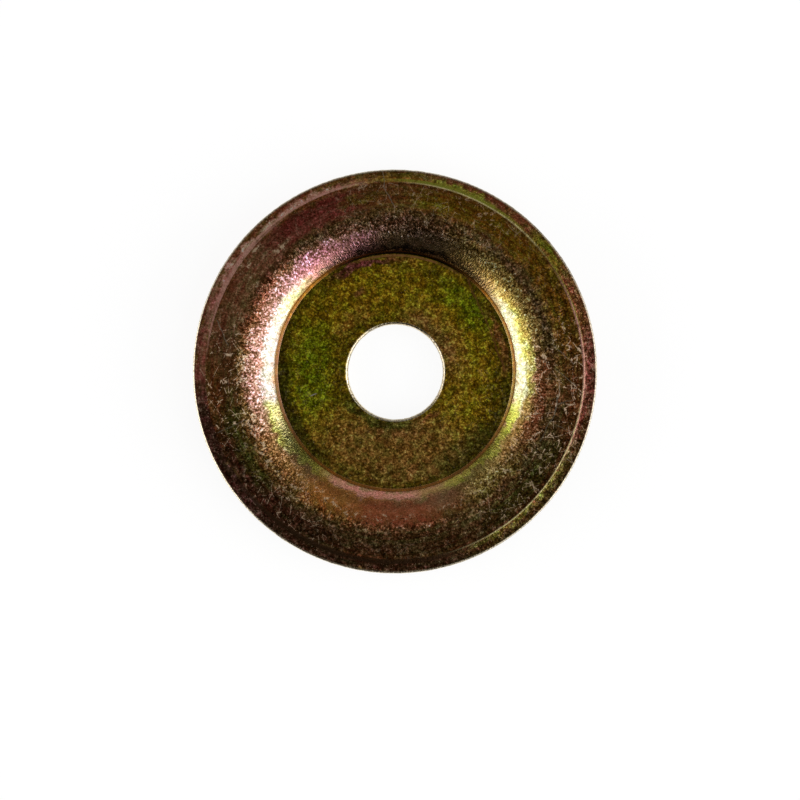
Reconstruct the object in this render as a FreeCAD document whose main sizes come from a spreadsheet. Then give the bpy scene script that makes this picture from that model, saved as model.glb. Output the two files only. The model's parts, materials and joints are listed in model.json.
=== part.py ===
# Dished steel washer, stamped from one piece of sheet and plated: a flat floor round a punched hole,
# a small coined step, a rounded wall, a flat flange and a rim turned a little down.
# Millimetres. The origin is at the centre of the floor's underside, on which it rests, with +Z up.
import FreeCAD, Part
import math
import os
import Sketcher

# Driving dimensions, in millimetres and degrees.
SIZES = {
    "outer_diameter": 42.5,
    "hole_diameter": 10.0,
    "sheet_thickness": 2.0,
    "rim_width": 1.35,
    "rim_angle": 5.0,
    "flange_width": 2.85,
    "shoulder_radius": 6.3,
    "flank_angle": 42.0,
    "heel_radius": 2.2,
    "step_height": 0.7,
    "step_angle": 58.0,
    "hole_roll": 0.33,
    "edge_break": 0.2,
    "tear_height": 0.6,
    "tear_width": 0.08,
}

doc = FreeCAD.newDocument("dished_washer")


def fill_sheet():
    """One row for each size: its name in column A, its number in column B."""
    table = doc.addObject("Spreadsheet::Sheet", "sizes")
    for row, (name, value) in enumerate(SIZES.items(), start=1):
        table.set(f"A{row}", name)
        table.set(f"B{row}", str(value))
        table.setAlias(f"B{row}", name)
    doc.recompute()
    return table


sizes = fill_sheet()


def origin_plane(body, role):
    """The plane of the body's own origin that has this role."""
    return next(plane for plane in body.Origin.OriginFeatures if plane.Role == role)


def polar(centre, radius, degrees):
    """The point of a circle at an angle counted from the horizontal."""
    turn = math.radians(degrees)
    return FreeCAD.Vector(centre.x + radius * math.cos(turn), centre.y + radius * math.sin(turn), 0)


class Section:
    """The sheet's section, drawn round its outline: out along the top, back along the underside."""

    def __init__(self, sketch):
        self.sketch = sketch

    def line(self, start, end):
        return self.sketch.addGeometry(Part.LineSegment(start, end), False)

    def arc(self, centre, radius, first, last):
        """An arc that runs anticlockwise between two angles, so its end 1 is at the first."""
        circle = Part.Circle(centre, FreeCAD.Vector(0, 0, 1), radius)
        return self.sketch.addGeometry(
            Part.ArcOfCircle(circle, math.radians(first), math.radians(last)), False
        )

    def tie(self, kind, *places):
        return self.sketch.addConstraint(Sketcher.Constraint(kind, *places))

    def size(self, name, expression, kind, *places):
        """A named dimension that follows an expression of the sizes in the sheet."""
        value = self.sketch.evalExpression(expression)
        if kind == "Angle":
            value = math.radians(value.Value)
        index = self.tie(kind, *places, value)
        self.sketch.renameConstraint(index, name)
        self.sketch.setExpression(f"Constraints.{name}", expression)


def draw_section(sketch):
    """Draws the outline near its final place, then ties every line and arc to the sheet."""
    point = FreeCAD.Vector
    top = sizes.sheet_thickness
    bore = sizes.hole_diameter / 2
    outside = sizes.outer_diameter / 2
    rim_slope = math.tan(math.radians(sizes.rim_angle))
    flank = math.radians(sizes.flank_angle)
    step = math.radians(sizes.step_angle)

    # Corners and centres, worked out from the rim inwards.
    crease = outside - sizes.rim_width
    shoulder_x = crease - sizes.flange_width
    flank_x = shoulder_x - sizes.shoulder_radius * math.sin(flank)
    flank_y = top + sizes.step_height
    flange_y = flank_y + sizes.shoulder_radius * (1 - math.cos(flank))
    floor_x = flank_x - sizes.step_height / math.tan(step)
    shoulder = point(shoulder_x, flange_y - sizes.shoulder_radius, 0)
    under_radius = sizes.shoulder_radius - top
    under_flank = polar(shoulder, under_radius, 90 + sizes.flank_angle)
    heel_x = under_flank.x - under_flank.y / math.tan(flank) - sizes.heel_radius * math.tan(flank / 2)
    heel = point(heel_x, sizes.heel_radius, 0)
    hole_lip = point(bore + sizes.hole_roll, top - sizes.hole_roll, 0)
    rim_end = point(outside - sizes.edge_break, 0, 0)
    rim_end.y = flange_y - (rim_end.x - crease) * rim_slope
    edge_lip = point(outside, rim_end.y - sizes.edge_break, 0)
    under_crease = point(crease, flange_y - top, 0)
    under_edge_y = under_crease.y - sizes.rim_width * rim_slope
    tear_y = under_edge_y + sizes.tear_height

    draw = Section(sketch)
    # The top, from the hole outwards.
    hole_arc = draw.arc(hole_lip, sizes.hole_roll, 90, 180)
    floor_top = draw.line(point(hole_lip.x, top, 0), point(floor_x, top, 0))
    step_line = draw.line(point(floor_x, top, 0), point(flank_x, flank_y, 0))
    shoulder_arc = draw.arc(shoulder, sizes.shoulder_radius, 90, 90 + sizes.flank_angle)
    flange_top = draw.line(point(shoulder_x, flange_y, 0), point(crease, flange_y, 0))
    rim_top = draw.line(point(crease, flange_y, 0), rim_end)
    edge_corner = draw.line(rim_end, edge_lip)
    # The sheared edge, with the torn part of its height drawn in.
    edge_face = draw.line(edge_lip, point(outside, tear_y, 0))
    edge_tear = draw.line(
        point(outside, tear_y, 0), point(outside - sizes.tear_width, under_edge_y, 0)
    )
    # The underside, back to the hole.
    rim_under = draw.line(point(outside - sizes.tear_width, under_edge_y, 0), under_crease)
    flange_under = draw.line(under_crease, point(shoulder_x, under_crease.y, 0))
    under_arc = draw.arc(shoulder, under_radius, 90, 90 + sizes.flank_angle)
    flank_under = draw.line(under_flank, polar(heel, sizes.heel_radius, 270 + sizes.flank_angle))
    heel_arc = draw.arc(heel, sizes.heel_radius, 270, 270 + sizes.flank_angle)
    floor_under = draw.line(point(heel_x, 0, 0), point(bore + sizes.tear_width, 0, 0))
    hole_tear = draw.line(point(bore + sizes.tear_width, 0, 0), point(bore, sizes.tear_height, 0))
    hole_face = draw.line(point(bore, sizes.tear_height, 0), point(bore, hole_lip.y, 0))

    # Smooth joints, given as a piece and its end, then the same again.
    for joint in (
        (hole_face, 2, hole_arc, 2),
        (hole_arc, 1, floor_top, 1),
        (shoulder_arc, 1, flange_top, 1),
        (flange_under, 2, under_arc, 1),
        (under_arc, 2, flank_under, 1),
        (flank_under, 2, heel_arc, 2),
        (heel_arc, 1, floor_under, 1),
    ):
        draw.tie("Tangent", *joint)
    # Sharp corners, and the two shoulder arcs on one centre.
    for joint in (
        (floor_top, 2, step_line, 1),
        (step_line, 2, shoulder_arc, 2),
        (flange_top, 2, rim_top, 1),
        (rim_top, 2, edge_corner, 1),
        (edge_corner, 2, edge_face, 1),
        (edge_face, 2, edge_tear, 1),
        (edge_tear, 2, rim_under, 1),
        (rim_under, 2, flange_under, 1),
        (floor_under, 2, hole_tear, 1),
        (hole_tear, 2, hole_face, 1),
        (shoulder_arc, 3, under_arc, 3),
    ):
        draw.tie("Coincident", *joint)
    for level in (floor_top, flange_top, flange_under, floor_under):
        draw.tie("Horizontal", level)
    for upright in (edge_face, hole_face):
        draw.tie("Vertical", upright)
    draw.tie("Parallel", rim_top, rim_under)
    draw.tie("Vertical", flange_top, 2, rim_under, 2)
    # Both shoulder arcs turn through the same angle, down to one line through their centre.
    spoke = sketch.addGeometry(Part.LineSegment(shoulder, point(flank_x, flank_y, 0)), True)
    draw.tie("Coincident", spoke, 1, shoulder_arc, 3)
    draw.tie("Coincident", spoke, 2, shoulder_arc, 2)
    draw.tie("PointOnObject", under_arc, 2, spoke)

    axis, datum = (-1, 1), -1
    draw.size("outer_radius", "sizes.outer_diameter / 2", "DistanceX", *axis, edge_face, 1)
    draw.size("hole_radius", "sizes.hole_diameter / 2", "DistanceX", *axis, hole_face, 2)
    draw.size("floor_thickness", "sizes.sheet_thickness", "DistanceY", *axis, floor_top, 1)
    draw.size("under_radius", "sizes.shoulder_radius - sizes.sheet_thickness", "Radius", under_arc)
    draw.size("shoulder_radius", "sizes.shoulder_radius", "Radius", shoulder_arc)
    draw.size("flank_rise", "sizes.flank_angle * 1 deg", "Angle", datum, 1, flank_under, 2)
    draw.size("heel_radius", "sizes.heel_radius", "Radius", heel_arc)
    draw.size("step_height", "sizes.step_height", "DistanceY", step_line, 1, step_line, 2)
    draw.size("step_angle", "sizes.step_angle * 1 deg", "Angle", datum, 1, step_line, 1)
    draw.size("rim_width", "sizes.rim_width", "DistanceX", rim_top, 1, edge_face, 1)
    draw.size("rim_angle", "sizes.rim_angle * 1 deg", "Angle", rim_top, 1, datum, 1)
    draw.size("flange_width", "sizes.flange_width", "DistanceX", flange_top, 1, flange_top, 2)
    draw.size("hole_roll", "sizes.hole_roll", "Radius", hole_arc)
    draw.size("edge_break_width", "sizes.edge_break", "DistanceX", edge_corner, 1, edge_corner, 2)
    draw.size("edge_break_height", "sizes.edge_break", "DistanceY", edge_corner, 2, edge_corner, 1)
    draw.size("hole_tear_height", "sizes.tear_height", "DistanceY", hole_tear, 1, hole_tear, 2)
    draw.size("hole_tear_width", "sizes.tear_width", "DistanceX", hole_tear, 2, hole_tear, 1)
    draw.size("edge_tear_height", "sizes.tear_height", "DistanceY", edge_tear, 2, edge_tear, 1)
    draw.size("edge_tear_width", "sizes.tear_width", "DistanceX", edge_tear, 2, edge_tear, 1)
    draw.tie("PointOnObject", floor_under, 1, datum)


def build_washer():
    """The section turned once round the hole's axis."""
    body = doc.addObject("PartDesign::Body", "washer")
    body.Label = "dished_washer"
    sketch = body.newObject("Sketcher::SketchObject", "section")
    sketch.AttachmentSupport = [(origin_plane(body, "XZ_Plane"), "")]
    sketch.MapMode = "FlatFace"
    draw_section(sketch)
    turned = body.newObject("PartDesign::Revolution", "turned_sheet")
    turned.Profile = sketch
    turned.ReferenceAxis = (sketch, ["V_Axis"])
    turned.Angle = 360
    body.Placement = FreeCAD.Placement(FreeCAD.Vector(0, 0, 0), FreeCAD.Rotation())
    return body


def check_document(parts):
    """Stops before anything is written if an object failed or a shape isn't a sound solid."""
    failed = [item.Name for item in doc.Objects if {"Invalid", "Error"} & set(item.State)]
    if failed:
        raise RuntimeError(f"these objects failed: {failed}")
    for part in parts:
        shape = part.Shape
        if shape.isNull() or not shape.isValid() or len(shape.Solids) != 1:
            raise RuntimeError(f"{part.Label} isn't one valid solid")


washer = build_washer()
doc.recompute()
check_document([washer])
os.makedirs("parts", exist_ok=True)
washer.Shape.exportStep(f"parts/{washer.Label}.step")
box = washer.Shape.optimalBoundingBox()
print(f"{washer.Label}: {box.XLength:.2f} x {box.YLength:.2f} x {box.ZLength:.2f} mm")
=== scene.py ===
# Looks of the dished washer: yellow passivated zinc on stamped steel, seen from straight above on a white
# floor, between a large soft light on its right, a slightly lower one on its left and dim ones above and
# behind.
import json
import math

import bpy
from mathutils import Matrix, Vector, noise


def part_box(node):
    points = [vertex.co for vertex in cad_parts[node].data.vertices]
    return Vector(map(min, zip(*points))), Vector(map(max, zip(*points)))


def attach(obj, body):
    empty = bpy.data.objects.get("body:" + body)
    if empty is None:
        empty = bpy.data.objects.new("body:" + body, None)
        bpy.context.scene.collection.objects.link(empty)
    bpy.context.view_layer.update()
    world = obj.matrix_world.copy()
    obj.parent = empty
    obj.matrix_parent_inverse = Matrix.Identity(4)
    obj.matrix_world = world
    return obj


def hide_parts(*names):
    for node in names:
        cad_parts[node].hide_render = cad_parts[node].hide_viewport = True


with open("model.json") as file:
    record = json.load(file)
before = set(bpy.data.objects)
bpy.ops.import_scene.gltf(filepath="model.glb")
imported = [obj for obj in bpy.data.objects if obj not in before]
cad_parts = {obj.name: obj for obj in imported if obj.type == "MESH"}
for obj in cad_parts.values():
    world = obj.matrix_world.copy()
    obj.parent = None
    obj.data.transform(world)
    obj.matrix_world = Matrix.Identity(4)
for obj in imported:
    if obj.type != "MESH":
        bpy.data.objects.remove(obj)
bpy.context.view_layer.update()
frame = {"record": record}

MM = 0.001
NODE = "dished_washer"

# Sizes that the frame gives, in millimetres.
MOUNTS = {mount["name"]: mount for mount in frame["record"]["mounts"]}
BORE = MOUNTS["centre_hole"]["dims"]["r_mm"]
SHEET = MOUNTS["floor_face"]["pos_m"][2] / MM
FLANGE_TOP = MOUNTS["flange_face"]["pos_m"][2] / MM
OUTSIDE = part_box(NODE)[1].x / MM

# The rest of the section, in millimetres and degrees, as in the part's own source.
RIM_WIDTH = 1.35
RIM_ANGLE = 5.0
FLANGE_WIDTH = 2.85
SHOULDER_RADIUS = 6.3
FLANK_ANGLE = 42.0
HEEL_RADIUS = 2.2
STEP_HEIGHT = 0.7
STEP_ANGLE = 58.0
HOLE_ROLL = 0.33
EDGE_ROLL = 0.2
TEAR_HEIGHT = 0.6
TEAR_WIDTH = 0.08

CREASE = OUTSIDE - RIM_WIDTH
SHOULDER_X = CREASE - FLANGE_WIDTH
SHOULDER_Z = FLANGE_TOP - SHOULDER_RADIUS
SOURCE_LIP_X = SHOULDER_X - SHOULDER_RADIUS * math.sin(math.radians(FLANK_ANGLE))
FOOT_X = SOURCE_LIP_X - STEP_HEIGHT / math.tan(math.radians(STEP_ANGLE))

# Finer than the source: the rounding at the step's foot and lip, and the bow of the rim in degrees.
FOOT_FILLET = 0.09
LIP_FILLET = 0.05
RIM_BOW = 4.0

# The photograph has the lip a little nearer to the foot: the shoulder's arc runs on to it.
LIP_SHIFT = 0.15
LIP_X = SOURCE_LIP_X - LIP_SHIFT
LIP_ANGLE = math.degrees(math.asin((SHOULDER_X - LIP_X) / SHOULDER_RADIUS))
LIP_Z = SHOULDER_Z + SHOULDER_RADIUS * math.cos(math.radians(LIP_ANGLE))

# How far the dish and the hole were pressed off the edge's centre, and the radii where each shift fades out.
DISH_SHIFT = (0.02, 0.04)
DISH_FADE = (14.5, 17.0)
HOLE_SHIFT = (0.05, -0.035)
HOLE_FADE = (5.6, 7.5)

# Where the crease strays from its circle: angle, half angle, shift.
CREASE_BENDS = [(124, 28, 0.15), (330, 70, -0.07)]
CREASE_BAND = 0.9

# Where the hole's rolled edge is wider: angle, half angle, how much of its width is added.
WIDE_ROLLS = [(288, 26, 0.9), (322, 34, 0.45), (170, 40, 0.25)]
ROLL_BAND = 0.6

# The ragged sheared faces: how deep in the raggedness reaches, and a coarse and a fine noise for each, with
# its steps round the axis, its steps per millimetre of height, its start and its reach in millimetres.
BORE_BAND = 0.25
BORE_RAGS = [(14, 1.6, 0, 0.034), (45, 2.5, 7, 0.022)]
EDGE_BAND = 0.12
EDGE_RAGS = [(40, 1.2, 0, 0.016), (110, 2.0, 5, 0.030)]
EDGE_LOSS = 0.020

# The mesh: steps round the axis, the short step that keeps a curve's shading off the flat beside it, and the
# angle in degrees past which an edge shows sharp.
TURNS = 640
HOLD = 0.02
SHARP_ANGLE = 38

# The photograph's frame: where the washer's centre and edge are, in pixels of 800 by 800. The camera's
# height above the flange and its near and far limits are in metres, its sensor in millimetres.
FRAME_PX = 800
CENTRE_PX = (394.97, 371.51)
RADIUS_PX = 202.30
CAMERA_HEIGHT = 0.60
CAMERA_LIMITS = (0.01, 20)
SENSOR = 36.0

# Soft lights: name, azimuth, lowest and highest elevation and half width in degrees as seen from the washer,
# distance in metres, and level.
PANELS = [
    ("key_light", -18, 2, 36, 34, 1.2, 2.4),
    ("key_spill", -18, 2, 72, 38, 1.3, 1.0),
    ("side_light", 189, 2, 33, 29, 1.2, 2.3),
    ("side_spill", 182, 2, 50, 38, 1.3, 0.8),
    ("back_light", 90, 2, 22, 38, 1.5, 0.5),
    ("back_spill", 90, 2, 60, 38, 1.6, 0.17),
    ("top_light", 90, 46, 112, 52, 1.6, 0.2),
]
WORLD_GREY = 0.03

# The floor: its side in metres, its grey for other light, and the glow and grey that the camera sees.
FLOOR_SIDE = 6
FLOOR_GREY = 0.8
FLOOR_GLOW = 0.90
SHADOW_GREY = 0.14

# Tints of the passivated film, as linear colours; the ones noted below also serve as painted light and
# shade.
OLIVE = (0.28, 0.180, 0.006)
GOLD = (0.36, 0.240, 0.010)
GREEN = (0.19, 0.235, 0.005)
DARK_GREEN = (0.085, 0.095, 0.012)
TAN = (0.33, 0.17, 0.040)
BROWN = (0.240, 0.115, 0.030)
RED_BROWN = (0.25, 0.085, 0.035)
MAROON = (0.24, 0.056, 0.042)
RED_MAROON = (0.20, 0.050, 0.035)
MAGENTA = (0.20, 0.035, 0.045)
EARTH = (0.12, 0.088, 0.004)
HONEY = (0.45, 0.26, 0.030)
# Paler, greyer tints painted as highlight colour under the wall's left and right highlights.
PAINTED_HIGHLIGHT_STEEL = (0.42, 0.38, 0.34)
PAINTED_HIGHLIGHT_CREAM = (0.42, 0.41, 0.26)
LIME = (0.37, 0.38, 0.045)
MOSS = (0.26, 0.22, 0.035)
BLUSH = (0.42, 0.20, 0.14)
# A pale rose painted as highlight along and beside the crease.
PAINTED_SHEEN_ROSE = (0.85, 0.43, 0.33)
PINK = (0.42, 0.17, 0.17)
ROSE = (0.62, 0.26, 0.20)
SAND = (0.34, 0.21, 0.10)
AMBER = (0.44, 0.17, 0.035)
RUST = (0.38, 0.11, 0.045)
UMBER = (0.25, 0.125, 0.035)
# A brown painted as a shade line along the lip.
LIP_SHADE_BROWN = (0.24, 0.085, 0.015)
FAWN = (0.42, 0.19, 0.06)
OCHRE = (0.46, 0.30, 0.07)
STRAW = (0.90, 0.76, 0.36)
TAUPE = (0.34, 0.17, 0.085)
COPPER = (0.82, 0.42, 0.13)
# Pale tints painted as light on the step's face.
PAINTED_LIGHT_PEACH = (1.00, 0.54, 0.38)
PAINTED_LIGHT_APRICOT = (1.00, 0.52, 0.20)
PAINTED_LIGHT_BUTTER = (0.98, 0.72, 0.33)
BLACK_MAROON = (0.070, 0.026, 0.017)
BLACK_OLIVE = (0.088, 0.055, 0.020)
# A dark green painted as shade on the disc beside the step's foot.
FOOT_SHADE_GREEN = (0.045, 0.040, 0.004)
BLACK_BROWN = (0.075, 0.040, 0.006)
# A dark brown painted as shade on the rim's lower side.
RIM_SHADE_BROWN = (0.055, 0.027, 0.012)
# Black for pits in the film, and for painted shade in the step's corner and on the top of the step and wall.
SHADE_AND_PIT_BLACK = (0.025, 0.016, 0.010)

# Bare or rubbed metal, and a pale tint painted as highlight on the rolled edges.
GREY = (0.34, 0.29, 0.21)
SILVER = (0.60, 0.54, 0.42)
PAINTED_SHINE = (0.95, 0.84, 0.62)
RUBBED = (0.62, 0.47, 0.30)
BRIGHT = (0.92, 0.68, 0.46)

# Factors that turn a tint warmer, cooler or, on the flange, darker.
WARM = (1.30, 0.86, 0.95)
COOL = (0.78, 1.10, 0.80)
DUSK = (0.68, 0.57, 0.58)

# How strongly a speckle's light and dark act on red, green and blue.
SHEEN = (1.0, 1.10, 1.45)

# Noises of the film: scale per millimetre, detail, roughness.
GRAIN = (4.8, 2, 0.6)
FLECK = (6.5, 1, 0.5)
MOTTLE = (0.9, 3, 0.6)
CLOUD = (1.7, 4, 0.7)
SPOT = (1.3, 4, 0.65)

# Noises in polar steps (round the axis per radian, outwards per millimetre): the steps, and the noise.
STREAK_STEPS = (15, 0.55)
STREAK = (4.8, 2, 0.6)
HOOP_STEPS = (3.2, 3.4)
HOOP = (1.0, 3, 0.6)

# How places stray for a patch and for a scratch: scale, detail and roughness of the noise, reach.
LOOSE = (0.8, 4, 0.62, 2.6)
KINK = (1.1, 2, 0.5, 0.45)

# Zones by radius: where the sheet was stretched (with its soft border), and where the flange's finish
# sets in.
STRETCHED = (13.1, 16.6, 0.9)
OUTER = (16.0, 17.4)

# Zones by angle, half angle and soft border in degrees: a smoother side of the wall and flange, and a quiet
# one of the wall with its radii and border.
SMOOTH = (112, 76, 20)
CALM = (262, 34, 12)
CALM_RING = (13.0, 16.0, 0.4)

# Strength of the speckle by zone, in stops of light for the whole range of its noise.
FINE = {"floor": 7.5, "step": 0.8, "lip": 2.0, "wall": 10.5, "flange": 8.0, "smooth": 4.5, "calm": 2.0}
CLOUDY = {"floor": 7.0, "wall": 8.5, "flange": 8.0, "smooth": 3.5}
CLOUDY_SHARE = {"lip": 0.4, "step": 0.1, "calm": 0.25}
DRAWN = {"lip": 2.0, "wall": 5.5, "calm": 1.0}
HOOPED = 3.0

# Roughness: its range on the speckle, its share on the disc, what is added beyond the lip, and the values
# on the step's face and on bare spots.
ROUGH_RANGE = (0.14, 0.26)
ROUGH_DISC = 0.75
ROUGH_WALL = 0.08
ROUGH_STEP = 0.34
ROUGH_BARE = 0.42

# Height of the film's relief, in millimetres.
RELIEF = 0.025

# Patches of tint: angle and half angle in degrees, radius and half width in millimetres, the softness of
# the border as a share of each half size, strength, tint. A later patch lies over an earlier one.
FLOOR_PATCHES = [
    (145, 55, 5.8, 0.5, 0.6, 0.60, EARTH),
    (155, 55, 6.7, 0.9, 0.6, 0.35, EARTH),
    (272, 22, 6.2, 1.0, 0.6, 0.75, BROWN),
    (24, 42, 7.1, 0.8, 0.6, 0.75, HONEY),
    (25, 52, 10.7, 0.9, 0.5, 0.60, EARTH),
    (45, 32, 10.8, 0.9, 0.6, 0.55, EARTH),
    (90, 40, 8.6, 2.2, 0.8, 0.35, GOLD),
    (60, 62, 9.6, 0.9, 0.7, 0.55, OLIVE),
    (345, 25, 8.0, 1.6, 0.8, 0.45, GOLD),
    (178, 24, 8.9, 1.9, 0.7, 0.80, GREEN),
    (43, 15, 10.3, 1.2, 0.7, 0.75, GREEN),
    (268, 42, 8.6, 3.0, 0.6, 0.75, TAN),
    (288, 26, 10.9, 0.9, 0.6, 0.60, TAN),
    (40, 34, 5.8, 0.9, 0.6, 0.85, TAN),
    (132, 14, 7.0, 0.8, 0.8, 0.35, AMBER),
    (72, 22, 11.9, 0.5, 0.6, 0.60, GOLD),
    (108, 13, 11.8, 0.32, 0.6, 0.80, MAGENTA),
    (115, 3, 9.2, 0.25, 0.8, 0.50, MAGENTA),
    (94, 10, 11.9, 0.4, 0.8, 0.40, MAROON),
    # Painted shade on the disc beside the step's foot.
    (197, 27, 11.9, 0.6, 0.6, 0.75, FOOT_SHADE_GREEN),
    (320, 26, 11.9, 0.6, 0.6, 0.65, FOOT_SHADE_GREEN),
    (312, 14, 10.9, 1.0, 0.7, 0.55, DARK_GREEN),
    (248, 36, 5.6, 0.55, 0.5, 0.80, DARK_GREEN),
    (307, 8, 5.9, 0.3, 0.8, 0.60, RUST),
    (17, 14, 11.6, 0.35, 0.7, 0.45, RUST),
]
WALL_PATCHES = [
    # Paler, greyer tints painted under the left and right highlights.
    (165, 42, 13.6, 0.9, 0.35, 0.95, PAINTED_HIGHLIGHT_STEEL),
    (8, 28, 13.4, 0.75, 0.35, 0.95, PAINTED_HIGHLIGHT_CREAM),
    (136, 12, 13.1, 0.5, 0.6, 0.85, LIME),
    (147, 9, 13.3, 0.6, 0.6, 0.70, PAINTED_HIGHLIGHT_CREAM),
    (204, 9, 13.5, 0.9, 0.5, 0.85, LIME),
    (212, 12, 13.1, 0.5, 0.6, 0.80, STRAW),
    (214, 14, 14.9, 0.8, 0.5, 0.80, BROWN),
    (231, 9, 14.7, 0.6, 0.6, 0.60, BROWN),
    (229, 14, 13.2, 0.6, 0.6, 0.85, LIME),
    (20, 14, 14.2, 0.5, 0.6, 0.80, LIME),
    (32, 18, 14.9, 0.9, 0.5, 0.80, OCHRE),
    (333, 12, 13.2, 0.45, 0.6, 0.90, LIME),
    (298, 10, 13.0, 0.4, 0.6, 0.70, ROSE),
    (346, 14, 14.4, 0.4, 0.6, 0.60, LIME),
    (50, 14, 14.4, 1.5, 0.6, 0.65, OCHRE),
    (117, 17, 13.9, 1.3, 0.5, 0.90, PINK),
    (104, 30, 15.4, 0.9, 0.5, 0.70, BLACK_MAROON),
    (30, 26, 16.6, 0.6, 0.5, 0.70, BLACK_OLIVE),
    (134, 13, 14.6, 0.8, 0.6, 0.80, PINK),
    (170, 26, 15.0, 0.9, 0.6, 0.85, BLUSH),
    (150, 15, 16.5, 0.6, 0.5, 0.75, RED_BROWN),
    (249, 15, 15.1, 1.8, 0.4, 0.85, AMBER),
    (270, 15, 15.3, 1.5, 0.4, 0.90, RUST),
    (262, 22, 13.1, 0.4, 0.5, 0.85, ROSE),
    (291, 10, 13.2, 0.5, 0.6, 0.60, MOSS),
    (300, 10, 14.6, 0.9, 0.6, 0.65, RED_BROWN),
    (316, 14, 14.6, 1.5, 0.6, 0.60, MOSS),
    (334, 15, 14.7, 0.9, 0.5, 0.85, UMBER),
    (308, 12, 13.0, 0.4, 0.6, 0.75, LIME),
    (347, 14, 15.6, 0.7, 0.6, 0.60, RUST),
    # Painted shade on the wall's top side.
    (86, 19, 13.0, 0.3, 0.5, 0.80, SHADE_AND_PIT_BLACK),
    (90, 42, 12.93, 0.10, 0.6, 0.80, SHADE_AND_PIT_BLACK),
    (108, 44, 16.6, 0.7, 0.5, 0.50, SHADE_AND_PIT_BLACK),
    (150, 12, 15.9, 0.5, 0.6, 0.60, RED_BROWN),
    (122, 19, 18.4, 1.3, 0.4, 0.90, MAROON),
    (152, 17, 17.6, 0.5, 0.6, 0.60, SAND),
    (155, 18, 18.7, 1.1, 0.6, 0.70, TAUPE),
    (181, 14, 17.6, 0.8, 0.6, 0.50, BLACK_OLIVE),
    (335, 16, 17.6, 0.9, 0.6, 0.60, BLACK_OLIVE),
    (77, 7, 18.3, 0.5, 0.7, 0.45, GREEN),
    (102, 5, 18.4, 0.5, 0.7, 0.40, GREEN),
    (45, 30, 18.6, 1.2, 0.6, 0.70, OLIVE),
    (318, 22, 18.3, 1.8, 0.5, 0.65, BLACK_OLIVE),
    (318, 16, 18.5, 0.9, 0.5, 0.55, DARK_GREEN),
    (225, 24, 18.9, 1.3, 0.5, 0.80, BLACK_MAROON),
    (207, 13, 17.9, 0.9, 0.5, 0.70, DARK_GREEN),
    (264, 32, 18.2, 1.7, 0.5, 0.80, BLACK_OLIVE),
]
RIM_PATCHES = [
    # A painted sheen beside the crease on the upper left.
    (130, 26, 20.15, 0.45, 0.5, 0.90, PAINTED_SHEEN_ROSE),
    (172, 26, 20.3, 0.5, 0.5, 0.40, ROSE),
    (330, 36, 20.6, 0.8, 0.3, 0.85, BLACK_OLIVE),
    (357, 15, 20.6, 0.7, 0.3, 0.80, RED_MAROON),
    (180, 18, 20.8, 0.35, 0.5, 0.60, MAROON),
    (305, 24, 20.1, 0.25, 0.4, 0.60, MOSS),
    (316, 32, 20.85, 0.35, 0.4, 0.80, BLACK_BROWN),
    (38, 5, 20.5, 0.5, 0.6, 0.60, GREEN),
    (71, 9, 20.1, 0.35, 0.5, 0.80, LIME),
    (92, 12, 20.2, 0.35, 0.5, 0.60, HONEY),
    (92, 14, 20.8, 0.3, 0.5, 0.60, EARTH),
    # Painted shade on the rim's lower side.
    (212, 26, 20.5, 0.9, 0.3, 0.95, BLACK_MAROON),
    (262, 32, 20.5, 0.9, 0.3, 0.92, RIM_SHADE_BROWN),
]

# Painted light and shade on the step's face over its copper: paler lit tints on its left, right and lower
# side, painted shade at its top. Angle, half angle, soft border, tint.
STEP_LIGHT_AND_SHADE = [
    (180, 26, 18, PAINTED_LIGHT_PEACH),
    (2, 24, 16, PAINTED_LIGHT_BUTTER),
    (288, 38, 16, PAINTED_LIGHT_APRICOT),
    (88, 34, 14, SHADE_AND_PIT_BLACK),
]

# Thin lines round the axis, at the crease, the lip and the foot: the bright ones at the crease and the
# pale one at the foot are painted highlights, the dark ones at the crease's lower side and at the lip are
# painted shade. Angle, half angle, radius, half width, tint. They share the soft borders below, in
# millimetres and degrees.
LIGHT_AND_SHADE_LINES = [
    (2, 22, 19.88, 0.10, PAINTED_SHEEN_ROSE),
    (322, 30, 19.83, 0.04, STRAW),
    (62, 18, 19.92, 0.07, STRAW),
    (26, 12, 19.98, 0.04, MOSS),
    (70, 16, 20.10, 0.12, LIME),
    (150, 16, 19.86, 0.07, PAINTED_SHEEN_ROSE),
    (130, 24, 20.10, 0.10, PAINTED_SHEEN_ROSE),
    (255, 36, 19.98, 0.22, RIM_SHADE_BROWN),
    (84, 22, 12.22, 0.09, FAWN),
    (136, 20, 12.76, 0.05, UMBER),
]
LINE_SOFT = 0.05
LINE_SOFT_ANGLE = 12

# Grey rubbed spots: angle, half angle, radius, half width. All have one softness and one strength.
SCUFFS = [
    (138.5, 2.4, 19.3, 0.32),
    (145.5, 2.4, 19.35, 0.38),
    (147, 4, 17.4, 0.4),
    (133, 2.5, 17.7, 0.35),
    (212, 11, 16.4, 0.35),
    (229, 8, 17.1, 0.25),
    (258, 17, 15.5, 0.22),
    (295, 7, 15.4, 0.25),
]
SCUFF_SOFT = 0.35
SCUFF_STRENGTH = 0.75

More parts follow.
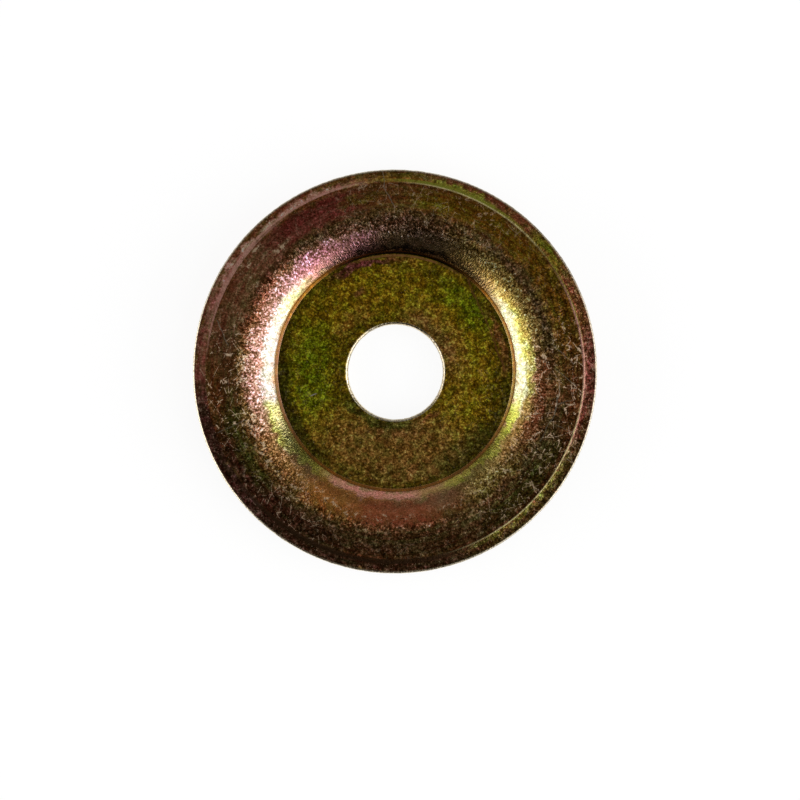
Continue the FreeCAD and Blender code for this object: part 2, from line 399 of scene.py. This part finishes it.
# Single scratches: start and end in millimetres from the axis, half width, strength, tint. SCRATCH_END is
# how far each fades at its ends, SCRATCH_SIDES where it starts and is full across, as shares of its half
# width.
SCRATCHES = [
    ((-1.21, 21.1), (-1.11, 19.3), 0.05, 0.6, GREY),
    ((-1.11, 19.3), (0.05, 17.2), 0.05, 0.6, GREY),
    ((-18.7, 5.4), (-17.5, 2.7), 0.05, 0.7, GREY),
    ((17.4, -1.5), (16.7, -4.6), 0.06, 0.6, GREY),
    ((16.7, -4.6), (15.3, -7.3), 0.05, 0.5, GREY),
    ((-18.6, -6.4), (-15.7, -5.1), 0.04, 0.5, GREY),
    ((18.7, 0.8), (16.7, 2.7), 0.05, 0.6, GREY),
    ((16.9, 0.2), (19.1, -1.6), 0.05, 0.6, GREY),
    ((17.1, -3.4), (18.9, -2.9), 0.04, 0.5, GREY),
    ((17.0, -5.6), (18.7, -6.4), 0.04, 0.5, GREY),
    ((11.2, 13.5), (10.7, 13.0), 0.05, 0.6, GREY),
    ((11.6, 0.0), (9.8, 4.8), 0.09, 0.6, RED_BROWN),
    ((9.8, 4.8), (7.6, 9.7), 0.09, 0.55, RED_BROWN),
    ((-8.9, -2.6), (-8.3, -2.35), 0.07, 1.0, SILVER),
]
SCRATCH_END = 0.15
SCRATCH_SIDES = (1.6, 0.4)

# Short hairlines, the contour lines of a stretched noise: direction in degrees and place in the noise, its
# stretch in millimetres along and across, and how far from the contour a line ends and is full.
HAIRS = [(64, 3.7), (128, 11.3), (8, 23.9), (95, 37.1)]
HAIR_LENGTH = 6.0
HAIR_SPACING = 1.5
HAIR_SIDES = (0.0095, 0.002)

# Where the hairlines lie: angle, half angle, strength. Elsewhere, down the wall and on the rim they are
# faint.
HAIR_ZONES = [(184, 20, 0.95), (352, 24, 0.95), (318, 16, 0.55), (232, 16, 0.5), (78, 30, 0.35)]
HAIR_ZONE_SOFT = 8
HAIR_FLOOR = 0.12
HAIR_RISE = (13.8, 15.4, 0.1, 1.0)
HAIR_ON_RIM = 0.35

# Where a paler highlight is painted on the rolled edges: angle, half angle, soft border.
HOLE_PAINTED_SHINES = [(75, 26, 20), (213, 22, 14)]
EDGE_PAINTED_SHINE = (232, 60, 20)


def slope(degrees):
    return math.tan(math.radians(degrees))


def arc_points(centre_x, centre_z, radius, first, last, count):
    """Points on a circle of the section from one angle to another, ends included."""
    points = []
    for index in range(count + 1):
        turn = math.radians(first + (last - first) * index / count)
        points.append((centre_x + radius * math.cos(turn), centre_z + radius * math.sin(turn)))
    return points


def straight(start, end, count):
    """Points after start, up to and including end, with a short step at either end of the run."""
    span = math.dist(start, end)
    shares = [HOLD / span] + [k / count for k in range(1, count)] + [1 - HOLD / span, 1]
    return [(start[0] + (end[0] - start[0]) * s, start[1] + (end[1] - start[1]) * s) for s in shares]


def round_corner(before, corner, after, radius, count):
    """The points of a small arc that rounds a corner of the section."""
    a = Vector(before) - Vector(corner)
    b = Vector(after) - Vector(corner)
    half = a.angle(b) / 2
    reach = radius / math.tan(half)
    start = Vector(corner) + a.normalized() * reach
    end = Vector(corner) + b.normalized() * reach
    bisector = (a.normalized() + b.normalized()).normalized()
    centre = Vector(corner) + bisector * radius / math.sin(half)
    points = []
    for index in range(count + 1):
        ray = (start - centre).slerp(end - centre, index / count)
        points.append(tuple(centre + ray.normalized() * radius))
    return points


def rim_points(end):
    """The turned-down rim: steeper at the crease than at the edge, by RIM_BOW degrees each way."""
    width = end[0] - CREASE
    points = []
    for share in (HOLD / width, 0.12, 0.25, 0.4, 0.6, 0.8, 1 - HOLD / width, 1):
        bow = slope(RIM_BOW) * width * share * (1 - share)
        points.append((CREASE + width * share, FLANGE_TOP + (end[1] - FLANGE_TOP) * share - bow))
    return points


def section():
    """The sheet's section as (radius, height) in millimetres, round its outline from the bore. The last
    number of each run is its count of steps."""
    rim_end = (OUTSIDE - EDGE_ROLL, FLANGE_TOP - (RIM_WIDTH - EDGE_ROLL) * slope(RIM_ANGLE))
    edge_top = (OUTSIDE, rim_end[1] - EDGE_ROLL)
    under = FLANGE_TOP - SHEET
    under_edge = under - RIM_WIDTH * slope(RIM_ANGLE)
    under_radius = SHOULDER_RADIUS - SHEET
    flank = math.radians(FLANK_ANGLE)
    under_flank = (
        SHOULDER_X - under_radius * math.sin(flank),
        SHOULDER_Z + under_radius * math.cos(flank),
    )
    heel_x = under_flank[0] - under_flank[1] / math.tan(flank) - HEEL_RADIUS * math.tan(flank / 2)
    foot, lip = (FOOT_X, SHEET), (LIP_X, LIP_Z)
    shoulder = arc_points(SHOULDER_X, SHOULDER_Z, SHOULDER_RADIUS, 90 + LIP_ANGLE, 90, 26)

    # The bore, its rolled edge, the disc, the step, the shoulder, the flange, the rim and the edge.
    points = [(BORE, TEAR_HEIGHT)]
    points += straight(points[-1], (BORE, SHEET - HOLE_ROLL), 4)
    points += arc_points(BORE + HOLE_ROLL, SHEET - HOLE_ROLL, HOLE_ROLL, 180, 90, 8)[1:]
    corner = round_corner(points[-1], foot, lip, FOOT_FILLET, 5)
    points += straight(points[-1], corner[0], 13) + corner[1:]
    corner = round_corner(foot, lip, shoulder[1], LIP_FILLET, 4)
    points += straight(points[-1], corner[0], 2) + corner[1:]
    points += shoulder[1:]
    points += straight(points[-1], (CREASE, FLANGE_TOP), 6)
    points += rim_points(rim_end)
    points += arc_points(OUTSIDE - EDGE_ROLL, edge_top[1], EDGE_ROLL, 90 - RIM_ANGLE, 0, 6)
    points += straight(edge_top, (OUTSIDE, under_edge + TEAR_HEIGHT), 3)

    # The underside, back to the bore.
    points += straight(points[-1], (OUTSIDE - TEAR_WIDTH, under_edge), 3)
    points += straight(points[-1], (CREASE, under), 4)
    points += straight(points[-1], (SHOULDER_X, under), 4)
    points += arc_points(SHOULDER_X, SHOULDER_Z, under_radius, 90, 90 + FLANK_ANGLE, 12)[1:]
    heel = arc_points(heel_x, HEEL_RADIUS, HEEL_RADIUS, 270 + FLANK_ANGLE, 270, 10)
    points += straight(points[-1], heel[0], 3)
    points += heel[1:]
    points += straight(points[-1], (BORE + TEAR_WIDTH, 0), 6)
    points += straight(points[-1], points[0], 3)[:-1]
    return points


def bell(degrees, middle, width):
    """1 at the middle angle, falling smoothly to 0 at a width to either side."""
    off = abs((degrees - middle + 180) % 360 - 180)
    return 0.5 + 0.5 * math.cos(math.pi * min(off / width, 1))


def bells(degrees, table):
    """The sum of a table's bells, each times its strength."""
    return sum(strength * bell(degrees, middle, width) for middle, width, strength in table)


def ease(value, low, high):
    """A smooth step from 0 at low to 1 at high."""
    share = min(max((value - low) / (high - low), 0), 1)
    return share * share * (3 - 2 * share)


def ragged(c, s, height, rags):
    """How far a sheared face strays at one point, in millimetres."""
    return sum(
        reach * noise.noise(Vector((c * around, s * around, height * up + start)))
        for around, up, start, reach in rags
    )


def worn(radius, height, degrees):
    """The point of the section moved a little, where the blank was sheared, rolled and handled."""
    angle = math.radians(degrees)
    c, s = math.cos(angle), math.sin(angle)
    if height > TEAR_HEIGHT and radius < BORE + ROLL_BAND:
        roll = 1 - (radius - BORE) / ROLL_BAND
        radius += (radius - BORE) * bells(degrees, WIDE_ROLLS) * roll
    near_bore = max(0.0, 1 - (radius - BORE) / BORE_BAND)
    near_edge = max(0.0, 1 - (OUTSIDE - radius) / EDGE_BAND)
    if near_bore > 0:
        radius += near_bore * ragged(c, s, height, BORE_RAGS)
    if near_edge > 0:
        radius -= near_edge * (EDGE_LOSS + ragged(c, s, height, EDGE_RAGS))
    near_crease = max(0.0, 1 - abs(radius - CREASE) / CREASE_BAND)
    hole = 1 - ease(radius, *HOLE_FADE)
    dish = (1 - ease(radius, *DISH_FADE)) * (1 - hole)
    radius += near_crease * bells(degrees, CREASE_BENDS)
    x = radius * c + dish * DISH_SHIFT[0] + hole * HOLE_SHIFT[0]
    y = radius * s + dish * DISH_SHIFT[1] + hole * HOLE_SHIFT[1]
    return x * MM, y * MM, height * MM


def build_skin():
    """The section turned round the axis."""
    outline = section()
    count = len(outline)
    vertices = []
    for turn in range(TURNS):
        vertices += [worn(r, z, 360 * turn / TURNS) for r, z in outline]
    faces = []
    for turn in range(TURNS):
        near, far = turn * count, (turn + 1) % TURNS * count
        for k in range(count):
            after = (k + 1) % count
            faces.append((near + k, near + after, far + after, far + k))
    mesh = bpy.data.meshes.new("washer_skin")
    mesh.from_pydata(vertices, [], faces)
    mesh.validate()
    mesh.shade_smooth()
    mesh.set_sharp_from_angle(angle=math.radians(SHARP_ANGLE))
    skin = bpy.data.objects.new("washer_skin", mesh)
    bpy.context.scene.collection.objects.link(skin)
    return skin


def add_camera():
    """Straight down, placed so that the rim falls on the photograph's circle."""
    pixel = OUTSIDE * MM / RADIUS_PX
    width = FRAME_PX * pixel
    camera = bpy.data.cameras.new("camera")
    camera.sensor_width = SENSOR
    camera.lens = SENSOR * CAMERA_HEIGHT / width
    camera.clip_start, camera.clip_end = CAMERA_LIMITS
    holder = bpy.data.objects.new("camera", camera)
    middle = FRAME_PX / 2
    holder.location = (
        (middle - CENTRE_PX[0]) * pixel,
        (CENTRE_PX[1] - middle) * pixel,
        FLANGE_TOP * MM + CAMERA_HEIGHT,
    )
    bpy.context.scene.collection.objects.link(holder)
    bpy.context.scene.camera = holder


def add_panel(name, azimuth, low, high, spread, distance, level):
    """A soft light that covers a range of azimuth and elevation, in degrees, as seen from the part."""
    middle = math.radians((low + high) / 2)
    turn = math.radians(azimuth)
    level_part = math.cos(middle)
    away = Vector((math.cos(turn) * level_part, math.sin(turn) * level_part, math.sin(middle)))
    lamp = bpy.data.lights.new(name, "AREA")
    lamp.shape = "RECTANGLE"
    lamp.size = 2 * distance * math.tan(math.radians(spread))
    lamp.size_y = 2 * distance * math.tan(math.radians((high - low) / 2))
    lamp.energy = level * math.pi * lamp.size * lamp.size_y
    holder = bpy.data.objects.new(name, lamp)
    holder.location = away * distance
    holder.rotation_mode = "QUATERNION"
    holder.rotation_quaternion = away.to_track_quat("Z", "Y")
    bpy.context.scene.collection.objects.link(holder)


class Graph:
    """Short names for the nodes of one material. Each node is made after those that feed it, and the range
    nodes don't clamp: otherwise Cycles has to keep too many values at once, and renders black."""

    def __init__(self, material):
        material.use_nodes = True
        self.tree = material.node_tree
        self.tree.nodes.clear()

    def node(self, kind, *given, out=0, **settings):
        """Makes a node from pairs of input and value, and returns its output."""
        made = self.tree.nodes.new(kind)
        for name, value in settings.items():
            setattr(made, name, value)
        for key, value in given:
            socket = made.inputs[key]
            if isinstance(value, bpy.types.NodeSocket):
                self.tree.links.new(value, socket)
            elif socket.type == "RGBA":
                socket.default_value = (*value, 1)
            else:
                socket.default_value = value
        return made.outputs[out] if made.outputs else None

    def math(self, operation, *values):
        return self.node("ShaderNodeMath", *enumerate(values), operation=operation)

    def both(self, first, second):
        return self.math("MULTIPLY", first, second)

    def mix(self, factor, below, above, blend="MIX"):
        return self.node("ShaderNodeMix", (0, factor), (6, below), (7, above), out=2, data_type="RGBA",
                         blend_type=blend)

    def lerp(self, factor, below, above):
        return self.node("ShaderNodeMix", (0, factor), (2, below), (3, above), data_type="FLOAT")

    def window(self, value, low, high, start=0.0, end=1.0):
        """A smooth step from start at low to end at high."""
        return self.node("ShaderNodeMapRange", *enumerate((value, low, high, start, end)),
                         interpolation_type="SMOOTHSTEP", clamp=False)

    def noise(self, place, scale, detail, rough, kind="Fac"):
        return self.node("ShaderNodeTexNoise", ("Vector", place), ("Scale", scale), ("Detail", detail),
                         ("Roughness", rough), out=kind)


class Film(Graph):
    """The passivated film's graph, in millimetres about the washer's axis. A direction round the axis is a
    pair of numbers, its cosine and sine."""

    def __init__(self, material):
        super().__init__(material)
        source = self.node("ShaderNodeTexCoord", out="Object")
        self.place = self.node("ShaderNodeVectorMath", (0, source), ("Scale", 1 / MM), operation="SCALE")
        parts = self.node("ShaderNodeSeparateXYZ", (0, self.place))
        flat = parts.node.outputs[0], parts.node.outputs[1]
        far = self.length(flat)
        dish = self.window(far, DISH_FADE[1], DISH_FADE[0])
        hole = self.window(far, HOLE_FADE[1], HOLE_FADE[0])
        between = self.both(dish, self.math("SUBTRACT", 1.0, hole))
        self.flat = [
            self.add(part, between, -DISH_SHIFT[k], self.both(hole, -HOLE_SHIFT[k]))
            for k, part in enumerate(flat)
        ]
        self.reach, self.turn = self.split(self.flat)
        self.loose_reach, self.loose_turn = self.split(self.wander(*LOOSE))
        self.kinked = self.wander(*KINK)
        self.grain = self.noise(self.place, *GRAIN)
        self.fleck = self.noise(self.place, *FLECK)
        self.mottle = self.noise(self.place, *MOTTLE)
        self.streak = self.noise(self.polar(*STREAK_STEPS), *STREAK)
        self.cloud = self.noise(self.place, *CLOUD)
        self.hoop = self.noise(self.polar(*HOOP_STEPS), *HOOP)

    def add(self, start, value, factor, more):
        """start + value * factor + more"""
        return self.math("ADD", self.math("MULTIPLY_ADD", value, factor, start), more)

    def project(self, pair, angle, less=0.0):
        """How far a pair reaches along a direction given in radians, less a fixed length."""
        part = self.math("MULTIPLY_ADD", pair[1], math.sin(angle), -less)
        return self.math("MULTIPLY_ADD", pair[0], math.cos(angle), part)

    def length(self, pair):
        square = self.both(pair[0], pair[0])
        return self.math("SQRT", self.math("MULTIPLY_ADD", pair[1], pair[1], square))

    def split(self, pair):
        """The length and the direction of a pair."""
        length = self.length(pair)
        return length, [self.math("DIVIDE", part, length) for part in pair]

    def distance(self, value, middle):
        return self.math("ABSOLUTE", self.math("SUBTRACT", value, middle))

    def largest(self, first, second):
        return self.math("MAXIMUM", first, second)

    def join(self, *values):
        return self.node("ShaderNodeCombineXYZ", *enumerate(values))

    def polar(self, around, out):
        """Coordinates for a noise, in steps round the axis (per radian) and outwards (per millimetre)."""
        steps = [self.both(part, around) for part in self.turn]
        return self.join(*steps, self.both(self.reach, out))

    def off(self, value, power):
        """How far a noise is from its middle, times a power."""
        return self.both(self.math("SUBTRACT", value, 0.5), power)

    def sheen(self, stops):
        """A colour factor of two to the power of stops: light turns paler, dark turns warmer."""
        values = [self.math("POWER", 2.0, self.both(stops, share)) for share in SHEEN]
        return self.node("ShaderNodeCombineColor", *enumerate(values))

    def drift(self, value, low, high):
        """A colour factor that runs from warm to cool with a noise."""
        return self.mix(self.window(value, low, high), WARM, COOL)

    def wander(self, scale, detail, rough, reach):
        """The place in the top view, shifted sideways by an amount that changes slowly."""
        colours = self.noise(self.place, scale, detail, rough, "Color")
        parts = self.node("ShaderNodeSeparateColor", (0, colours))
        return [self.math("ADD", self.flat[k], self.off(parts.node.outputs[k], reach)) for k in (0, 1)]

    def beyond_foot(self):
        """1 outside the disc."""
        return self.window(self.reach, FOOT_X, FOOT_X + 0.05)

    def ring(self, inner, outer, soft):
        """1 between two radii, falling to 0 over a soft border outside them."""
        rise = self.window(self.reach, inner - soft, inner)
        fall = self.window(self.reach, outer + soft, outer)
        return self.both(rise, fall)

    def sector(self, middle, half, soft, turn=None, scale=1.0):
        """1 within a half angle of a direction, falling to 0 over a soft border."""
        facing = self.project(turn or self.turn, math.radians(middle))
        wide = math.cos(math.radians(min(half + soft, 180)))
        tight = math.cos(math.radians(max(half - soft, 0)))
        return self.window(facing, wide, tight, 0, scale)

    def patch(self, middle, half, reach, width, soft, strength):
        """A loose-edged patch round an angle and a radius."""
        angular = self.sector(middle, half, half * soft, self.loose_turn)
        off = self.distance(self.loose_reach, reach)
        radial = self.window(off, width * (1 + soft), width * (1 - soft), 0, strength)
        return self.both(angular, radial)

    def hairs(self, direction, seed):
        """Bent hairlines that run near one direction."""
        angle = math.radians(direction)
        along = self.project(self.flat, angle)
        across = self.project(self.flat, angle + math.pi / 2)
        place = self.join(self.both(along, 1 / HAIR_LENGTH), self.both(across, 1 / HAIR_SPACING), seed)
        off = self.distance(self.noise(place, 1.0, 1, 0.5), 0.5)
        return self.window(off, *HAIR_SIDES)

    def scratch(self, start, end, width, strength):
        """A thin line between two points of the top view, a little kinked."""
        start, end = Vector(start), Vector(end)
        middle, half = (start + end) / 2, (end - start) / 2
        angle = math.atan2(half.y, half.x)
        ahead, aside = half.normalized(), Vector((-half.y, half.x)).normalized()
        along = self.math("ABSOLUTE", self.project(self.kinked, angle, middle.dot(ahead)))
        across = self.math("ABSOLUTE", self.project(self.kinked, angle + math.pi / 2, middle.dot(aside)))
        length = self.window(along, half.length + SCRATCH_END, half.length - SCRATCH_END, 0, strength)
        return self.both(length, self.window(across, width * SCRATCH_SIDES[0], width * SCRATCH_SIDES[1]))


def tinted(film, colour, patches):
    for middle, half, reach, width, soft, strength, tint in patches:
        colour = film.mix(film.patch(middle, half, reach, width, soft, strength), colour, tint)
    return colour


def zone_tints(film):
    """The film's tint, from the hole outwards: disc, step, wall with flange, rim, with painted light and
    shade where the tables mark it. The border of the rim's tint bends with the crease."""
    floor = film.mix(film.window(film.mottle, 0.38, 0.62), OLIVE, GOLD)
    # The disc darkens towards the step's foot: painted shade beside the step.
    floor = film.mix(film.window(film.loose_reach, 10.4, 12.2, 0, 0.85), floor, EARTH)
    floor = tinted(film, floor, FLOOR_PATCHES)
    wall = film.mix(film.window(film.reach, 14.4, 15.6), SAND, UMBER)
    wall = film.mix(film.window(film.reach, 16.6, 17.6), wall, BROWN)
    wall = tinted(film, wall, WALL_PATCHES)
    rim = film.mix(film.window(film.mottle, 0.4, 0.6), BROWN, RED_BROWN)
    rim = tinted(film, rim, RIM_PATCHES)
    face = COPPER
    # Painted light on the step's left, right and lower side, painted shade at its top.
    for middle, half, soft, tint in STEP_LIGHT_AND_SHADE:
        face = film.mix(film.sector(middle, half, soft), face, tint)
    colour = film.mix(film.window(film.reach, FOOT_X - 0.02, FOOT_X + 0.02), floor, face)
    colour = film.mix(film.window(film.reach, LIP_X - 0.03, LIP_X + 0.01), colour, wall)
    outward, inward = CREASE_BENDS
    crease = film.math("SUBTRACT", film.reach, film.sector(outward[0], 12, 12, scale=outward[2]))
    crease = film.math("ADD", crease, film.sector(inward[0], 35, 30, scale=-inward[2]))
    return film.mix(film.window(crease, CREASE - 0.04, CREASE + 0.02), colour, rim)


def drifts(film, colour, outer):
    """Drifts of hue between warm and cool, in spots everywhere and in hoops on the flange and rim, and the
    flange's darker outer part."""
    spots = film.drift(film.noise(film.place, *SPOT), 0.36, 0.64)
    colour = film.mix(film.lerp(film.ring(FOOT_X, 15.4, 0.3), 0.5, 0.2), colour, spots, "MULTIPLY")
    colour = film.mix(film.both(outer, 0.5), colour, film.drift(film.hoop, 0.38, 0.62), "MULTIPLY")
    dusk = film.both(film.window(film.reach, 17.0, 18.9), film.window(film.reach, CREASE, CREASE - 0.1))
    dusk = film.both(dusk, film.lerp(film.sector(132, 26, 12), 1.0, 0.6))
    return film.mix(dusk, colour, DUSK, "MULTIPLY")


def speckle(film, step, stretched, outer):
    """The speckle in stops of light: fine, in clouds, drawn out along the radius where the sheet was
    stretched, and in hoops on the flange and rim."""
    smooth = film.sector(*SMOOTH)
    fine = film.lerp(film.window(film.reach, 13.2, 15.2), FINE["lip"], FINE["wall"])
    fine = film.lerp(outer, fine, film.lerp(smooth, FINE["flange"], FINE["smooth"]))
    fine = film.lerp(film.beyond_foot(), FINE["floor"], fine)
    fine = film.lerp(step, fine, FINE["step"])
    calm = film.both(film.sector(*CALM), film.ring(*CALM_RING))
    fine = film.lerp(calm, fine, FINE["calm"])
    clouds = film.lerp(smooth, CLOUDY["wall"], CLOUDY["smooth"])
    clouds = film.lerp(outer, CLOUDY["flange"], clouds)
    clouds = film.lerp(film.beyond_foot(), CLOUDY["floor"], clouds)
    clouds = film.both(clouds, film.lerp(film.ring(LIP_X, 14.4, 0.8), 1.0, CLOUDY_SHARE["lip"]))
    share = film.lerp(calm, film.lerp(step, 1.0, CLOUDY_SHARE["step"]), CLOUDY_SHARE["calm"])
    clouds = film.both(clouds, share)
    stops = film.math("ADD", film.off(film.grain, fine), film.off(film.cloud, clouds))
    drawn = film.lerp(film.window(film.reach, 13.3, 14.9), DRAWN["lip"], DRAWN["wall"])
    drawn = film.both(film.lerp(calm, drawn, DRAWN["calm"]), stretched)
    stops = film.math("ADD", stops, film.off(film.streak, drawn))
    return film.math("ADD", stops, film.off(film.hoop, film.both(outer, HOOPED)))


def hairlines(film):
    """All hairlines, where the clouds and their zones let them show."""
    places = None
    for middle, half, strength in HAIR_ZONES:
        zone = film.sector(middle, half, HAIR_ZONE_SOFT, scale=strength)
        places = film.largest(places, zone) if places else zone
    gate = film.both(film.window(film.cloud, 0.50, 0.55), film.largest(places, HAIR_FLOOR))
    gate = film.both(gate, film.window(film.reach, *HAIR_RISE))
    gate = film.both(gate, film.window(film.reach, CREASE - 0.1, CREASE + 0.1, 1.0, HAIR_ON_RIM))
    lines = None
    for direction, seed in HAIRS:
        line = film.both(film.hairs(direction, seed), gate)
        lines = film.largest(lines, line) if lines else line
    return lines


def wear(film, colour, step, open_face):
    """Pits, specks, hairlines, rubbed spots and single scratches. Bare spots are also rougher."""
    coarse = film.lerp(film.ring(15.6, 18.6, 0.8), 0.5, 0.95)
    pits = film.both(film.window(film.fleck, 0.39, 0.30), film.both(open_face, coarse))
    colour = film.mix(pits, colour, SHADE_AND_PIT_BLACK)
    bare = film.both(film.window(film.fleck, 0.68, 0.77, 0, 0.5), open_face)
    hair = hairlines(film)
    rubbed = film.window(film.cloud, 0.54, 0.60)
    for middle, half, reach, width in SCUFFS:
        patch = film.patch(middle, half, reach, width, SCUFF_SOFT, SCUFF_STRENGTH)
        bare = film.largest(bare, film.both(patch, rubbed))
    colour = film.mix(bare, colour, RUBBED)
    colour = film.mix(hair, colour, BRIGHT)
    for start, end, width, strength, tint in SCRATCHES:
        colour = film.mix(film.scratch(start, end, width, strength), colour, tint)
    rough = film.window(film.fleck, 0.3, 0.7, *ROUGH_RANGE)
    on_disc = film.window(film.reach, FOOT_X, FOOT_X - 1.2)
    rough = film.lerp(on_disc, film.both(rough, ROUGH_DISC), rough)
    on_wall = film.window(film.reach, FOOT_X - 0.05, LIP_X)
    rough = film.lerp(on_wall, rough, film.math("ADD", rough, ROUGH_WALL))
    rough = film.lerp(step, rough, ROUGH_STEP)
    rough = film.lerp(film.largest(bare, hair), rough, ROUGH_BARE)
    return colour, rough


def edges(film, colour):
    """Painted shade in the corner at the foot of the step and along its lip, bare metal on the rolled edges
    with a paler painted highlight in places, and the thin lines of painted highlight and shade."""
    # Painted shade in the corner at the step's foot, left out at its top.
    corner = film.ring(FOOT_X - 0.07, FOOT_X + 0.03, 0.05)
    colour = film.mix(film.both(corner, film.lerp(film.sector(88, 26, 12), 0.3, 0.0)), colour, SHADE_AND_PIT_BLACK)
    # A painted shade line along the lip, faint on its lower side.
    lip = film.ring(LIP_X - 0.06, LIP_X, 0.04)
    colour = film.mix(film.both(lip, film.lerp(film.sector(245, 85, 15), 0.8, 0.15)), colour, LIP_SHADE_BROWN)
    # Bare metal on the hole's rolled edge, with a painted highlight in two places.
    hole = film.window(film.reach, BORE + HOLE_ROLL, BORE + HOLE_ROLL * 0.5)
    painted_shine = film.largest(*[film.sector(*zone) for zone in HOLE_PAINTED_SHINES])
    metal = film.mix(painted_shine, SILVER, PAINTED_SHINE)
    colour = film.mix(film.both(hole, film.window(film.grain, 0.30, 0.65, 0.45, 1.0)), colour, metal)
    # Bare metal on the outer rolled edge, with a painted highlight on its lower left.
    edge = film.window(film.reach, OUTSIDE - EDGE_ROLL * 1.3, OUTSIDE - EDGE_ROLL * 0.5)
    metal = film.mix(film.sector(*EDGE_PAINTED_SHINE), SILVER, PAINTED_SHINE)
    colour = film.mix(film.both(edge, film.window(film.grain, 0.38, 0.58, 0.5, 1.0)), colour, metal)
    # The thin lines: painted highlights along the crease and the foot, painted shade along the crease's
    # lower side and the lip.
    for middle, half, reach, width, tint in LIGHT_AND_SHADE_LINES:
        circle = film.ring(reach - width, reach + width, LINE_SOFT)
        line = film.both(circle, film.sector(middle, half, LINE_SOFT_ANGLE))
        line = film.both(line, film.window(film.cloud, 0.38, 0.52, 0.4, 0.95))
        colour = film.mix(line, colour, tint)
    return colour


def zinc_material():
    """Steel plated with zinc under a yellow passivated film."""
    material = bpy.data.materials.new("yellow_zinc")
    film = Film(material)
    colour = zone_tints(film)
    step = film.ring(FOOT_X, LIP_X, 0.04)
    stretched = film.ring(*STRETCHED)
    outer = film.window(film.reach, *OUTER)
    colour = drifts(film, colour, outer)
    stops = speckle(film, step, stretched, outer)
    colour = film.mix(1.0, colour, film.sheen(stops), "MULTIPLY")
    open_face = film.lerp(step, 1.0, 0.0)
    colour, rough = wear(film, colour, step, open_face)
    colour = edges(film, colour)
    height = film.math("ADD", film.grain, film.both(stretched, film.streak))
    height = film.both(height, open_face)
    bump = film.node("ShaderNodeBump", ("Strength", 1.0), ("Distance", RELIEF * MM), ("Height", height))
    shader = film.node("ShaderNodeBsdfPrincipled", ("Base Color", colour), ("Metallic", 1.0),
                       ("Roughness", rough), ("Normal", bump))
    film.node("ShaderNodeOutputMaterial", ("Surface", shader))
    return material


def white_floor():
    """A pale floor that shows as white, with the part's soft shadow kept."""
    bpy.ops.mesh.primitive_plane_add(size=FLOOR_SIDE)
    floor = bpy.context.object
    floor.name = "floor"
    material = bpy.data.materials.new("white_floor")
    graph = Graph(material)
    rays = graph.node("ShaderNodeLightPath").node.outputs
    seen = graph.math("MAXIMUM", rays["Is Camera Ray"], rays["Is Glossy Ray"])
    seen = graph.math("MAXIMUM", seen, rays["Is Transmission Ray"])
    plain = graph.node("ShaderNodeBsdfDiffuse", ("Color", (FLOOR_GREY,) * 3))
    glow = graph.node("ShaderNodeEmission", ("Color", (1, 1, 1)), ("Strength", FLOOR_GLOW))
    shade = graph.node("ShaderNodeBsdfDiffuse", ("Color", (SHADOW_GREY,) * 3))
    shown = graph.node("ShaderNodeAddShader", (0, glow), (1, shade))
    mixed = graph.node("ShaderNodeMixShader", (0, seen), (1, plain), (2, shown))
    graph.node("ShaderNodeOutputMaterial", ("Surface", mixed))
    floor.data.materials.append(material)


def dim_world():
    world = bpy.data.worlds.new("studio")
    bpy.context.scene.world = world
    world.use_nodes = True
    background = world.node_tree.nodes["Background"]
    background.inputs["Color"].default_value = (WORLD_GREY, WORLD_GREY, WORLD_GREY, 1)
    background.inputs["Strength"].default_value = 1.0


add_camera()
for panel in PANELS:
    add_panel(*panel)
dim_world()
bpy.context.scene.view_settings.view_transform = "Standard"

white_floor()
washer = build_skin()
washer.data.materials.append(zinc_material())
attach(washer, "root")
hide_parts(NODE)
